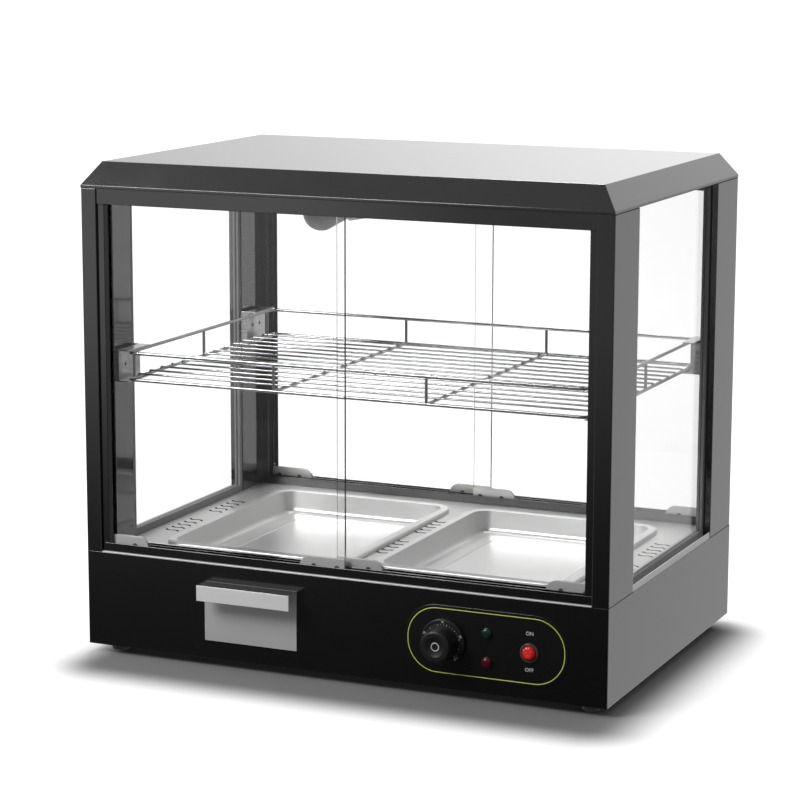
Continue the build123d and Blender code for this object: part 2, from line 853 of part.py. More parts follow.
def drawer_box():
    """The open box behind the plate, for water and crumbs."""
    x = drawer_box_width / 2
    y0 = panel_face - drawer_gap
    y1 = y0 + drawer_box_length
    z0 = base_floor + drawer_box_low
    z1 = z0 + drawer_box_height
    t = drawer_sheet
    outer = block(drawer_x - x, drawer_x + x, y0, y1, z0, z1)
    return outer - block(drawer_x - x + t, drawer_x + x - t, y0 + t, y1 - t, z0 + t, z1 + 1)


def drawer_runners():
    """Two angles on the bottom plate that carry and guide the box."""
    runners = []
    y0 = panel_face + sheet
    y1 = panel_face + drawer_box_length
    floor = base_floor + sheet
    ledge = base_floor + drawer_box_low - drawer_gap
    for side in (-1, 1):
        x0 = drawer_x + side * (drawer_box_width / 2 + drawer_gap)
        web = block(x0, x0 + side * runner_wall, y0, y1, floor, ledge + runner_leg)
        leg = block(x0, x0 - side * runner_leg, y0, y1, ledge - runner_wall, ledge)
        foot = block(x0, x0 + side * runner_leg, y0, y1, floor, floor + runner_wall)
        runners.append(web + leg + foot)
    return group(runners)


# Controls

def control_plate():
    """The label plate with fully rounded ends, drilled like the panel behind it."""
    z = base_floor + plate_low + plate_height / 2
    outline = upright(plate_x, panel_face, z, -1)
    plate = extrude(outline * RectangleRounded(plate_width, plate_height, plate_corner_radius),
                    amount=plate_thickness)
    for hole in control_holes():
        plate = plate - hole
    return plate


def thermostat_knob():
    """Dial skirt, tapered grip and the shaft that reaches into the thermostat."""
    z = base_floor + knob_z
    back = plate_front - knob_gap
    face = upright(knob_x, back, z, -1)
    skirt = extrude(face * Circle(knob_skirt_radius), amount=knob_skirt_height)
    rim = skirt.edges().filter_by(GeomType.CIRCLE).sort_by(Axis.Y)[0]
    skirt = fillet(rim, knob_skirt_height / 3)
    grip = loft([face * Circle(knob_grip_radius), face.offset(knob_height) * Circle(knob_face_radius)])
    grip = fillet(grip.edges().filter_by(GeomType.CIRCLE).sort_by(Axis.Y)[0], knob_edge_radius)
    ball_radius = (knob_dish_radius ** 2 + knob_dish_depth ** 2) / (2 * knob_dish_depth)
    ball_y = back - knob_height - ball_radius + knob_dish_depth
    dish = Pos(knob_x, ball_y, z) * Sphere(ball_radius)
    shaft = y_rod(knob_x, z, shaft_radius, back, panel_face + sheet + shaft_depth)
    return skirt + grip - dish + shaft


def thermostat_body():
    half = thermostat_size / 2
    y0 = panel_face + sheet
    z = base_floor + knob_z
    body = block(knob_x - half, knob_x + half, y0, y0 + thermostat_length, z - half, z + half)
    body = fillet(body.edges().filter_by(Axis.Y), fold_radius)
    return body - y_rod(knob_x, z, shaft_radius + shaft_gap, y0, y0 + shaft_depth + shaft_gap)


def thermostat_sensor():
    """The capillary from the thermostat and the sensing rod under the deck."""
    rod_z = deck_bottom - sensor_radius - sensor_deck_gap
    y0 = panel_face + sheet + thermostat_length
    y1 = y0 + 2 * capillary_bend
    corners = [(knob_x, y0, base_floor + knob_z), (knob_x, y1, base_floor + knob_z),
               (0, y1, base_floor + knob_z), (0, y1, rod_z), (0, y1 + 2 * capillary_bend, rod_z)]
    line = FilletPolyline(*corners, radius=capillary_bend)
    tube = sweep(Plane(origin=line @ 0, z_dir=line % 0) * Circle(capillary_radius), line)
    start = y1 + 2 * capillary_bend - capillary_radius
    return tube + y_rod(0, rod_z, sensor_radius, start, start + sensor_length)


def indicator(z):
    """A lamp lens with a domed face and a barrel through the panel."""
    z = base_floor + z
    lens = y_rod(indicator_x, z, indicator_radius, plate_front - indicator_dome, plate_front)
    rim = lens.edges().filter_by(GeomType.CIRCLE).sort_by(Axis.Y)[0]
    lens = fillet(rim, indicator_dome - fold_radius / 2)
    barrel = indicator_barrel_radius - screw_hole_gap
    return lens + y_rod(indicator_x, z, barrel, plate_front, plate_front + indicator_barrel_length)


def rocker_centre():
    """The rocker's hinge line, as a point in the well's axis."""
    return (switch_x, plate_front - bezel_height + rocker_thickness / 2, base_floor + switch_z)


def switch_housing():
    """Round bezel and barrel with a well for the rocker."""
    x, y, z = rocker_centre()
    front = plate_front - bezel_height
    bezel = y_rod(x, z, bezel_radius, front, plate_front)
    rim = bezel.edges().filter_by(GeomType.CIRCLE).sort_by(Axis.Y)[0]
    bezel = fillet(rim, bezel_height / 2)
    barrel = switch_barrel_radius - screw_hole_gap
    housing = bezel + y_rod(x, z, barrel, plate_front, plate_front + switch_barrel_length)
    housing = housing - y_rod(x, z, switch_well_radius, front - 1, front + switch_well_depth)
    return housing - rod((x - barrel, y, z), (x + barrel, y, z), pivot_radius + pivot_gap)


def switch_rocker():
    """The round rocker on its two pivots, tilted to its off position."""
    x, y, z = rocker_centre()
    reach = rocker_thickness / 2
    button = y_rod(x, z, rocker_radius, y - reach - rocker_rise, y + reach - bezel_height / 2)
    rim = button.edges().filter_by(GeomType.CIRCLE).sort_by(Axis.Y)[0]
    button = fillet(rim, rocker_rise)
    pivot_end = switch_barrel_radius - 2 * pivot_gap
    button = button + rod((x - pivot_end, y, z), (x + pivot_end, y, z), pivot_radius)
    return button.rotate(Axis((x, y, z), (1, 0, 0)), -rocker_rest_tilt)


# Heaters and wiring points

def heater(side):
    """A hairpin tube under one pan, with thicker cold ends behind."""
    x = side * pan_spacing / 2
    y0 = -pan_setback - heater_reach
    y1 = -pan_setback + heater_reach
    left, right = x - heater_half_span, x + heater_half_span
    corners = [(left, y1, heater_z), (left, y0, heater_z), (right, y0, heater_z), (right, y1, heater_z)]
    line = FilletPolyline(*corners, radius=heater_bend_radius)
    tube = sweep(Plane(origin=line @ 0, z_dir=line % 0) * Circle(heater_radius), line)
    for end_x in (left, right):
        tube = tube + y_rod(end_x, heater_z, heater_sleeve_radius, y1 - 1, y1 + heater_sleeve_length)
    return tube


def heater_bars():
    """Bridges over the bottom plate on which the heaters lie."""
    bars = []
    t = heater_bar_sheet
    top = heater_z - heater_radius
    floor = base_floor + sheet
    half = heater_bar_width / 2
    for side in (-1, 1):
        for end in (-1, 1):
            y = -pan_setback + end * heater_bar_y
            x0 = side * pan_spacing / 2 - heater_bar_half_span
            x1 = side * pan_spacing / 2 + heater_bar_half_span
            bridge = block(x0, x1, y - half, y + half, top - t, top)
            bridge = bridge + block(x0, x0 + t, y - half, y + half, floor, top)
            bridge = bridge + block(x1, x1 - t, y - half, y + half, floor, top)
            bridge = bridge + block(x0, x0 - heater_foot, y - half, y + half, floor, floor + t)
            bars.append(bridge + block(x1, x1 + heater_foot, y - half, y + half, floor, floor + t))
    return group(bars)


def cable_gland():
    """A hexagonal gland in the rear panel, bored for the lead."""
    z = base_floor + gland_z
    face = upright(gland_x, half_depth, z, 1)
    hexagon = extrude(face * RegularPolygon(gland_radius, 6), amount=gland_reach / 2)
    dome = extrude(face * Circle(gland_dome_radius), amount=gland_reach)
    dome = fillet(dome.edges().filter_by(GeomType.CIRCLE).sort_by(Axis.Y)[-1], fold_radius)
    thread = gland_thread_radius - screw_hole_gap
    body = hexagon + dome + extrude(face * Circle(thread), amount=-gland_reach)
    nut = extrude(face.offset(-sheet) * RegularPolygon(gland_radius, 6), amount=-gland_reach / 3)
    return body + nut - y_rod(gland_x, z, gland_bore_radius, half_depth - 2 * gland_reach,
                              half_depth + 2 * gland_reach)


def terminal_block():
    """The mains terminals, on the bottom plate beside the gland."""
    y = half_depth - 3 * terminal_depth
    floor = base_floor + sheet
    body = block(gland_x - terminal_width / 2, gland_x + terminal_width / 2, y - terminal_depth / 2,
                 y + terminal_depth / 2, floor, floor + terminal_height)
    body = fillet(body.edges().group_by(Axis.Z)[-1], runner_wall)
    pitch = terminal_width / terminal_count
    well_floor = floor + terminal_height / 2
    for i in range(terminal_count):
        x = gland_x + (i - (terminal_count - 1) / 2) * pitch
        body = body - rod((x, y, well_floor), (x, y, floor + 2 * terminal_height), pitch / 4)
    return body


nodes = {
    "base_shell": base_shell(),
    "bottom_plate": bottom_plate(),
    "rubber_feet": rubber_feet(),
    "base_rear_panel": base_rear_panel(),
    "rear_panel_screws": rear_panel_screws(),
    "deck_panel": deck_panel(),
    "front_sill_track": sill_track(-1),
    "rear_sill_track": sill_track(1),
    "front_header_track": header_track(-1),
    "rear_header_track": header_track(1),
    "door_jambs": corners(door_jamb),
    "jamb_seals": corners(jamb_seal),
    "top_cover": top_cover(),
    "ceiling_liner": ceiling_liner(),
    "head_rails": group(head_rail(side) for side in (-1, 1)),
    "wire_shelf": wire_shelf(),
    "shelf_brackets": corners(shelf_bracket),
    "shelf_screws": shelf_screws(),
    "lamp_bulb": lamp_bulb(),
    "lamp_cap": lamp_cap(),
    "lamp_holder": lamp_holder(),
    "lamp_bracket": lamp_bracket(),
    "left_heater": heater(-1),
    "right_heater": heater(1),
    "heater_bars": heater_bars(),
    "drawer_runners": drawer_runners(),
    "drawer_box": drawer_box(),
    "drawer_front": drawer_front(),
    "control_plate": control_plate(),
    "thermostat_body": thermostat_body(),
    "thermostat_sensor": thermostat_sensor(),
    "thermostat_knob": thermostat_knob(),
    "green_indicator": indicator(green_indicator_z),
    "red_indicator": indicator(red_indicator_z),
    "switch_housing": switch_housing(),
    "switch_rocker": switch_rocker(),
    "cable_gland": cable_gland(),
    "terminal_block": terminal_block(),
}
for side, hand in ((-1, "left"), (1, "right")):
    nodes[hand + "_side_glass"] = side_glass(side)
    nodes[hand + "_side_gasket"] = side_gasket(side)
    nodes[hand + "_pan"] = pan(side)
    for end, face in ((-1, "front"), (1, "rear")):
        nodes[face + "_" + hand + "_post"] = corner_post(side, end)
        nodes[face + "_" + hand + "_door_glass"] = door_glass(side, end)
        nodes[face + "_" + hand + "_door_clips"] = door_clips(side, end)
        nodes[face + "_" + hand + "_door_rollers"] = door_rollers(side, end)

os.makedirs("parts", exist_ok=True)
for name, shape in nodes.items():
    export_step(Pos(0, centre_shift, 0) * shape, "parts/" + name + ".step")
print(len(nodes), "nodes written")
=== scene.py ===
# %% [markdown]
# # A glass food warmer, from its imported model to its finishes
#
# The object is a counter-top food warmer. A black enamelled base holds the heaters, four
# posts carry a cover with sloped edges, and glass closes all four sides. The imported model
# already has every solid part at its real size, so this lesson gives those parts their
# finishes, adds the fine things that a solid model leaves out, and lights the result.
#
# Everything is in metres. The front faces -Y, X runs to the right and Z is up.

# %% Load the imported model
from math import cos, pi, radians, sin

import bmesh
import bpy
from mathutils import Matrix, Vector


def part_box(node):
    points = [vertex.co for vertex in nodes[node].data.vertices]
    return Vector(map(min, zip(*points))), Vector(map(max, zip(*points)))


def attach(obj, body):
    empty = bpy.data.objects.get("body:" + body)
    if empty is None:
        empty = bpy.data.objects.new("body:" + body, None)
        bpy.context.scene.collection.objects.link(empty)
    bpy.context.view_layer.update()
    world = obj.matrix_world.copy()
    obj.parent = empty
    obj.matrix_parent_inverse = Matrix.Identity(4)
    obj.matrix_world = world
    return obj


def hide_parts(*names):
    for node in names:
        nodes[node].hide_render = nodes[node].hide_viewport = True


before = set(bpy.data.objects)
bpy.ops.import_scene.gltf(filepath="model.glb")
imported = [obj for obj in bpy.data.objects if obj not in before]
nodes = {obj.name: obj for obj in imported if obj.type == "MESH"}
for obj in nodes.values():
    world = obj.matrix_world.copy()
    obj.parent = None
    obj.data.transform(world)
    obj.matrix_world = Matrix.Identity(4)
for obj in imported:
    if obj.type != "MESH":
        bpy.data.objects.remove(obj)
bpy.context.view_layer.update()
scene = bpy.context.scene

# %% [markdown]
# ## Writing nodes as sums
#
# Materials, the world and Geometry Nodes are all trees of nodes. Placing and linking each
# node by hand hides the idea behind it, so two small classes do that work. `Value` holds a
# socket, and a sum on it adds a Math node: `0.2 + 0.1 * noise` reads as it would on paper.
# The reflected forms matter as well, because `1 - mask` starts with a plain number.

# %% A value that can be used in sums
class Value:
    """A socket of a node, used in sums that add Math nodes."""

    def __init__(self, sheet, node, socket):
        self.sheet, self.node, self.socket = sheet, node, socket

    def out(self, name):
        """Another output of the same node."""
        return Value(self.sheet, self.node, self.node.outputs[name])

    def math(self, operation, other=None):
        terms = [self] if other is None else [self, other]
        return self.sheet.math(operation, *terms)

    def __add__(self, other): return self.math("ADD", other)
    def __sub__(self, other): return self.math("SUBTRACT", other)
    def __mul__(self, other): return self.math("MULTIPLY", other)
    def __truediv__(self, other): return self.math("DIVIDE", other)
    def __neg__(self): return self * -1
    def __gt__(self, other): return self.math("GREATER_THAN", other)
    def __lt__(self, other): return self.math("LESS_THAN", other)
    def __radd__(self, other): return self.sheet.math("ADD", other, self)
    def __rsub__(self, other): return self.sheet.math("SUBTRACT", other, self)
    def __rmul__(self, other): return self.sheet.math("MULTIPLY", other, self)
    def __rtruediv__(self, other): return self.sheet.math("DIVIDE", other, self)


# %% A sheet of nodes
class Sheet:
    """A node tree, with one method that adds and links any node."""

    def __init__(self, tree):
        self.tree = tree

    def feed(self, socket, given):
        if isinstance(given, Value):
            self.tree.links.new(given.socket, socket)
        elif isinstance(given, (list, tuple)) and socket.type == "RGBA" and len(given) == 3:
            socket.default_value = (*given, 1.0)
        else:
            socket.default_value = given

    def add(self, kind, settings=None, inputs=None, output=0):
        """Adds a node: its settings are set first, then its sockets get values or links."""
        node = self.tree.nodes.new(kind)
        for name, setting in (settings or {}).items():
            setattr(node, name, setting)
        for name, given in (inputs or {}).items():
            self.feed(node.inputs[name], given)
        return Value(self, node, node.outputs[output]) if len(node.outputs) else node

    def math(self, operation, *terms):
        return self.add("ShaderNodeMath", {"operation": operation}, dict(enumerate(terms)))

    def mix(self, factor, first, second):
        """A blend of two colours."""
        return self.add("ShaderNodeMix", {"data_type": "RGBA"},
                        {0: factor, 6: first, 7: second}, output=2)

    def parts(self, vector):
        """The X, Y and Z of a vector."""
        split = self.add("ShaderNodeSeparateXYZ", inputs={0: vector})
        return split, split.out("Y"), split.out("Z")

    def vector(self, x=0.0, y=0.0, z=0.0):
        return self.add("ShaderNodeCombineXYZ", inputs={0: x, 1: y, 2: z})

    def span(self, given, low, high, first=0.0, last=1.0):
        """Maps a value from low..high to first..last, smoothly and with held ends."""
        settings = {"interpolation_type": "SMOOTHSTEP"}
        return self.add("ShaderNodeMapRange", settings,
                        {0: given, 1: low, 2: high, 3: first, 4: last})


print("sheets of nodes are ready")

# %% [markdown]
# ## Where the camera stands
#
# The photograph shows the front and the right-hand side from a little above, through a long
# lens from about three metres. The numbers come from matching the corners of the cabinet
# with their places in the picture, with the lens left unshifted.

# %% Set up the camera
CAMERA_PLACE = Vector((1.268872, -2.898152, 0.882805))
CAMERA_TURN, CAMERA_DIP, CAMERA_ROLL = radians(23.942), radians(10.496), radians(0.147)
SENSOR_WIDTH, FOCAL_LENGTH = 36.0, 119.77

camera = bpy.data.objects.new("camera", bpy.data.cameras.new("camera"))
scene.collection.objects.link(camera)
camera.data.sensor_width = SENSOR_WIDTH
camera.data.lens = FOCAL_LENGTH
camera.matrix_world = (Matrix.Translation(CAMERA_PLACE) @ Matrix.Rotation(CAMERA_TURN, 4, "Z")
                       @ Matrix.Rotation(pi / 2 - CAMERA_DIP, 4, "X")
                       @ Matrix.Rotation(CAMERA_ROLL, 4, "Z"))
scene.camera = camera
scene.view_settings.view_transform = "Standard"
print("camera", round(CAMERA_PLACE.length, 2), "m away, lens", FOCAL_LENGTH, "mm")

# %% [markdown]
# ## A white studio
#
# Gloss enamel and steel have hardly any colour of their own: what they show is the room. The
# room here is white behind and overhead, bright to the front left, and dark to the front
# right, where a photographer would hang black cards so that the front panel stays black.
# A camera ray finds plain white, also through glass, unless it was mirrored on its way.

# %% Fill the world with studio light
FRONT_RIGHT, FRONT_LEFT, OVERHEAD, BACKDROP = 0.08, 0.40, 0.6, 1.0
BACK_FAR_LEFT, BACK_RIGHT_SHARE = 0.62, 0.6

world = bpy.data.worlds.new("white_studio")
world.use_nodes = True
world.node_tree.nodes.clear()
scene.world = world
air = Sheet(world.node_tree)
across, along, up = air.parts(air.add("ShaderNodeTexCoord", output="Generated"))
light_path = air.add("ShaderNodeLightPath")
unreflected = light_path.out("Glossy Depth") < 0.5
seen = light_path.math("MAXIMUM", light_path.out("Is Transmission Ray")) * unreflected
behind = air.span(along, -0.2, 0.4)
overhead = air.span(up, 0.3, 0.9) * air.span(along, -0.5, 0.1)
leftward = air.span(across, -0.8, 0.3, 1.0, 0.0)
front_level = FRONT_RIGHT + (FRONT_LEFT - FRONT_RIGHT) * leftward
room = front_level + (OVERHEAD - front_level) * overhead
back_level = air.span(across, -0.54, -0.28, BACK_FAR_LEFT, BACKDROP)
back_level = back_level * air.span(across, -0.1, 0.35, 1.0, BACK_RIGHT_SHARE)
room = room + (back_level - room) * behind
level = room + (1.0 - room) * seen
backdrop = air.add("ShaderNodeBackground", inputs={"Color": (1.0, 1.0, 1.0), "Strength": level})
air.add("ShaderNodeOutputWorld", inputs={"Surface": backdrop})
print("world level from", FRONT_RIGHT, "in front to", BACKDROP, "behind")

# %% [markdown]
# The floor is matt and mid grey, and to the camera it glows up to white away from the base.
# The glow starts at a rounded rectangle a little larger than the base, so inside it the floor
# stays dark grey: a painted shadow, a narrow dark band, which adds to the lamps' own shadow.
# The lamps alone would leave a paler and wider one. The stretch in front of the cabinet is
# dark to glossy rays only, which is the black card again: a mirror-like panel that stands
# over a white floor would otherwise turn grey.

# %% Lay the floor
class Finish(Sheet):
    """A material built on Object coordinates, which are the cabinet's own metres."""

    def __init__(self, name):
        self.material = bpy.data.materials.new(name + "_finish")
        self.material.use_nodes = True
        super().__init__(self.material.node_tree)
        self.tree.nodes.clear()
        self.place = self.add("ShaderNodeTexCoord", output="Object")

    def cloud(self, size, stretch=(1.0, 1.0, 1.0), detail=3.0, rough=0.5):
        """Soft noise whose patches are about this size, longer where stretch is more."""
        scaled = self.add("ShaderNodeMapping", inputs={
            "Vector": self.place, "Scale": tuple(1.0 / s for s in stretch)})
        return self.add("ShaderNodeTexNoise", inputs={
            "Vector": scaled, "Scale": 1.0 / size, "Detail": detail, "Roughness": rough})

    def bump(self, height, depth, normal=None):
        """A surface normal that is tilted by a height, as deep as depth."""
        given = {"Height": height, "Distance": depth, "Strength": 1.0}
        if normal is not None:
            given["Normal"] = normal
        return self.add("ShaderNodeBump", inputs=given)

    def bevel(self, radius):
        """A normal that rounds sharp edges off, as paint or a fold does."""
        return self.add("ShaderNodeBevel", {"samples": 6}, {"Radius": radius})

    def shade(self, **inputs):
        """The Principled shader, with its socket names written with underscores."""
        named = {name.replace("_", " "): given for name, given in inputs.items()}
        return self.add("ShaderNodeBsdfPrincipled", inputs=named)

    def close(self, shader):
        """Links the shader to the output and hands the material over."""
        self.add("ShaderNodeOutputMaterial", inputs={"Surface": shader})
        return self.material


FLOOR_GREY = (0.26, 0.26, 0.26)
# Painted shadow: inside this band round the base the floor gets no glow and stays dark grey.
PAINTED_SHADOW_MIDDLE = (0.02, -0.04)
PAINTED_SHADOW_HALF = (0.30, 0.215)
PAINTED_SHADOW_START, PAINTED_SHADOW_END = 0.01, 0.095
NEAR_GLOW, FAR_GLOW = 0.92, 0.2
CARD_FAR, CARD_NEAR, CARD_RIGHT_SHARE, PAPER = 0.62, 0.04, 0.4, 0.5
CARD_SLANT = 0.44


def floor_finish():
    floor = Finish("studio_floor")
    across, along, _ = floor.parts(floor.place)
    path = floor.add("ShaderNodeLightPath")
    reflected = path.out("Glossy Depth") > 0.5
    seen = path.math("MAXIMUM", path.out("Is Transmission Ray")) * (1.0 - reflected)
    mirrored = reflected * (1.0 - path.out("Is Diffuse Ray"))
    # Painted shadow: no glow within the band round the base, so the floor stays dark grey there.
    beside = ((across - PAINTED_SHADOW_MIDDLE[0]).math("ABSOLUTE") - PAINTED_SHADOW_HALF[0]).math("MAXIMUM", 0.0)
    before = ((along - PAINTED_SHADOW_MIDDLE[1]).math("ABSOLUTE") - PAINTED_SHADOW_HALF[1]).math("MAXIMUM", 0.0)
    distance = (beside * beside + before * before).math("SQRT")
    outside_painted_shadow = floor.span(distance, PAINTED_SHADOW_START, PAINTED_SHADOW_END)
    far = floor.span(along, 0.4, 3.0)
    matt = floor.add("ShaderNodeBsdfDiffuse", inputs={"Color": FLOOR_GREY})
    strength = (NEAR_GLOW * outside_painted_shadow + FAR_GLOW * far) * seen
    glow = floor.add("ShaderNodeEmission", inputs={"Strength": strength})
    lit = floor.add("ShaderNodeAddShader", inputs={0: matt, 1: glow})
    in_front = floor.span(along, -0.225, -0.205, 1.0, 0.0)
    slanted = across - CARD_SLANT * (along + 0.22)
    to_left = floor.span(slanted, -0.4, 0.4, 1.0, CARD_RIGHT_SHARE)
    card_level = floor.span(along, -3.2, -0.2, CARD_FAR, CARD_NEAR) * to_left
    card = floor.add("ShaderNodeEmission", inputs={"Strength": card_level})
    paper = floor.add("ShaderNodeEmission", inputs={"Strength": PAPER})
    shown = floor.add("ShaderNodeMixShader", inputs={0: in_front, 1: paper, 2: card})
    return floor.close(floor.add("ShaderNodeMixShader", inputs={0: mirrored, 1: lit, 2: shown}))


FLOOR_REACH = 40.0
sheet_mesh = bpy.data.meshes.new("floor")
corners = [(sx * FLOOR_REACH, sy * FLOOR_REACH, 0.0)
           for sx, sy in ((-1, -1), (1, -1), (1, 1), (-1, 1))]
sheet_mesh.from_pydata(corners, [], [(0, 1, 2, 3)])
floor = bpy.data.objects.new("floor", sheet_mesh)
sheet_mesh.materials.append(floor_finish())
scene.collection.objects.link(floor)
print("floor", 2 * FLOOR_REACH, "m across")

# %% [markdown]
# One large lamp stands to the front left and above, as a soft box would. It draws the thin
# highlights along the folds and gives the steel its shine. A second one hangs overhead and a
# little behind, so the shadow of the cabinet falls softly forward, where the camera sees it.

# %% Hang the soft boxes
def soft_box(name, place, aim, size, power):
    lamp = bpy.data.lights.new(name, "AREA")
    lamp.shape = "SQUARE"
    lamp.size = size
    lamp.energy = power
    holder = bpy.data.objects.new(name, lamp)
    scene.collection.objects.link(holder)
    holder.location = place
    holder.rotation_euler = (Vector(aim) - Vector(place)).to_track_quat("-Z", "Y").to_euler()


CABINET_MIDDLE = (0.0, 0.0, 0.2)
soft_box("key_box", (-1.6, -2.2, 2.3), CABINET_MIDDLE, size=1.4, power=70.0)
soft_box("top_box", (-0.5, 0.9, 2.7), CABINET_MIDDLE, size=0.9, power=50.0)
print("two soft boxes")

# %% [markdown]
# ## Black enamel
#
# The base, posts, tracks and cover are sheet steel under gloss enamel. The paint is nearly
# black, and its gloss does the rest. Sprayed paint is never a perfect mirror: it has a very
# shallow waviness, a few millimetres across, and its gloss differs a little from patch to
# patch. Folds are rounded by about a millimetre, which the Bevel node adds to the normal, so
# each edge catches a thin bright line without more mesh. The joints are narrow gaps. A dull
# dark line keeps them visible in the gloss: beside each jamb in front and behind, and where a
# post meets the cover and the base on the sides.

# %% Mix the enamel
def enamel(name, colour, gloss, wave, coat, joints):
    paint = Finish(name)
    across, _, up = paint.parts(paint.place)
    sideways, facing, _ = paint.parts(paint.add("ShaderNodeNewGeometry", output="True Normal"))
    frontal = facing.math("ABSOLUTE") > 0.7
    beside = (across.math("ABSOLUTE") - joints["x"]).math("ABSOLUTE")
    upright = (beside < 0.0006) * frontal
    upright = upright * (up > joints["low"]) * (up < joints["high"])
    flank = sideways.math("ABSOLUTE") > 0.7
    foot = (up - joints["low"]).math("ABSOLUTE") < 0.0006
    head = (up - joints["high"]).math("ABSOLUTE") < 0.0007
    joint = upright.math("MAXIMUM", foot.math("MAXIMUM", head) * flank)
    patches = paint.cloud(0.06)
    peel = paint.cloud(0.004, detail=1.0)
    dust = paint.cloud(0.0012, detail=2.0)
    specks = paint.span(dust, 0.68, 0.8)
    normal = paint.bump(peel, wave, paint.bevel(0.0009))
    lighter = tuple(2.2 * c for c in colour)
    return paint.close(paint.shade(
        Base_Color=paint.mix(specks * 0.5 + patches * 0.2, colour, lighter),
        Roughness=gloss + 0.08 * patches + 0.1 * specks + 0.6 * joint, IOR=1.75,
        Coat_Weight=coat * (1.0 - joint),
        Coat_Roughness=0.03, Coat_IOR=1.5, Coat_Normal=normal, Normal=normal))


post_low, post_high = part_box("front_right_post")
HALF_JOINT = 0.0004
JOINTS = {"x": post_low.x + HALF_JOINT, "low": post_low.z + HALF_JOINT,
          "high": post_high.z - HALF_JOINT}
BLACK = (0.005, 0.005, 0.0055)
PEEL_DEPTH = 0.0000015
black_enamel = enamel("black_enamel", BLACK, gloss=0.06, wave=PEEL_DEPTH, coat=1.0, joints=JOINTS)
label_enamel = enamel("label_enamel", BLACK, gloss=0.2, wave=PEEL_DEPTH, coat=0.3, joints=JOINTS)
print("enamel on posts, base, tracks and cover")

# %% [markdown]
# ## Steel and chrome
#
# The deck is brushed: long fine scratches that run along X and blur reflections across
# themselves. A noise stretched to sixty times its width stands for them, in the colour, the
# roughness and the bump. The other metals share the recipe with less stretch or none, and the
# clips' scratches run along Z. Slot walls in the deck, found by the way they face, are coloured
# near black as painted shade, and the deck's rims in front and beside are a pale grey as a
# painted highlight. The deck, pans, drawer and clips are less than fully metallic and the
# screws darker than bare steel, all set to match the photograph.

# %% Brush the steel
ALONG_X = (60.0, 1.0, 1.0)
ALONG_Z = (1.0, 1.0, 30.0)
EVEN = (1.0, 1.0, 1.0)


def brushed(name, colour, rough, size, stretch, depth, patch=0.05, metal=1.0):
    steel = Finish(name)
    scratch = steel.cloud(size, stretch, detail=4.0, rough=0.7)
    stain = steel.cloud(patch, detail=2.0)
    darker = tuple(0.82 * c for c in colour)
    normal = steel.bump(scratch, depth, steel.bevel(0.0005))
    return steel.close(steel.shade(
        Base_Color=steel.mix(0.55 * scratch + 0.45 * stain, darker, colour), Metallic=metal,
        Roughness=rough + 0.12 * (scratch - 0.5) + 0.08 * stain, Normal=normal))


def deck_finish(edge_x, edge_y):
    """Brushed sheet with painted shade on slot walls and a painted highlight on paler, less
    metallic rims in front and beside.
    """
    steel = Finish("deck_steel")
    across, along, _ = steel.parts(steel.place)
    facing = steel.add("ShaderNodeNewGeometry", output="True Normal")
    _, _, tilt = steel.parts(facing)
    inside = (across.math("ABSOLUTE") < edge_x) * (along > edge_y)
    # Painted shade: the slot walls are coloured near black.
    painted_shade_slot_wall = inside * (tilt.math("ABSOLUTE") < 0.3)
    scratch = steel.cloud(0.0006, ALONG_X, detail=4.0, rough=0.7)
    stain = steel.cloud(0.05, detail=2.0)
    sheet = steel.mix(0.55 * scratch + 0.45 * stain, (0.70, 0.70, 0.69), (0.84, 0.84, 0.83))
    # Painted highlight: the rims in front and beside are coloured a pale grey.
    sheet = steel.mix(inside, (0.95, 0.95, 0.95), sheet)
    return steel.close(steel.shade(
        Base_Color=steel.mix(painted_shade_slot_wall, sheet, (0.05, 0.05, 0.05)),
        Metallic=0.2 + 0.45 * inside, Roughness=0.26 + 0.12 * (scratch - 0.5) + 0.08 * stain,
        Normal=steel.bump(scratch, 0.00002, steel.bevel(0.0005))))


deck_low, deck_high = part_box("deck_panel")
DECK_RIM = 0.003
deck_steel = deck_finish(deck_high.x - DECK_RIM, deck_low.y + DECK_RIM)
FAINT, FINE = 0.00001, 0.00002
clip_steel = brushed("clip_steel", (0.84, 0.84, 0.83), rough=0.34, size=0.0006,
                     stretch=ALONG_Z, depth=FAINT, metal=0.5)
stainless = brushed("stainless", (0.80, 0.80, 0.79), rough=0.24, size=0.0006,
                    stretch=ALONG_X, depth=FINE)
zinc_steel = brushed("zinc_steel", (0.62, 0.64, 0.66), rough=0.34, size=0.004,
                     stretch=EVEN, depth=FAINT, patch=0.015)
heater_steel = brushed("heater_steel", (0.33, 0.31, 0.29), rough=0.38, size=0.002,
                       stretch=(1.0, 8.0, 1.0), depth=FAINT, patch=0.03)
screw_steel = brushed("screw_steel", (0.10, 0.10, 0.105), rough=0.3, size=0.0004,
                      stretch=EVEN, depth=FAINT / 2, patch=0.01)
bright_chrome = brushed("bright_chrome", (0.50, 0.50, 0.51), rough=0.09, size=0.0012,
                        stretch=(8.0, 1.0, 1.0), depth=FAINT, patch=0.02)
cap_metal = brushed("cap_metal", (0.66, 0.60, 0.46), rough=0.28, size=0.001,
                    stretch=EVEN, depth=FAINT, patch=0.01)
dark_zinc = brushed("dark_zinc", (0.10, 0.10, 0.105), rough=0.45, size=0.004,
                    stretch=EVEN, depth=FAINT, patch=0.015)
print("nine steels")

# %% [markdown]
# The pans get their own finish. A raised line runs round the flat floor, a little way in
# from the walls. The distance to a rounded rectangle draws it in the bump, so one formula
# serves both pans. The front rim is painted a darker grey, as painted shade, only to match
# the photograph.

# %% Press the pans
FLOOR_ABOVE_LOW = 0.002
LINE_INSIDE = 0.050
LINE_CORNER = 0.012
LINE_SOFTNESS = 0.0022
RIM_SHADE_START, RIM_SHADE_END = 0.016, 0.010


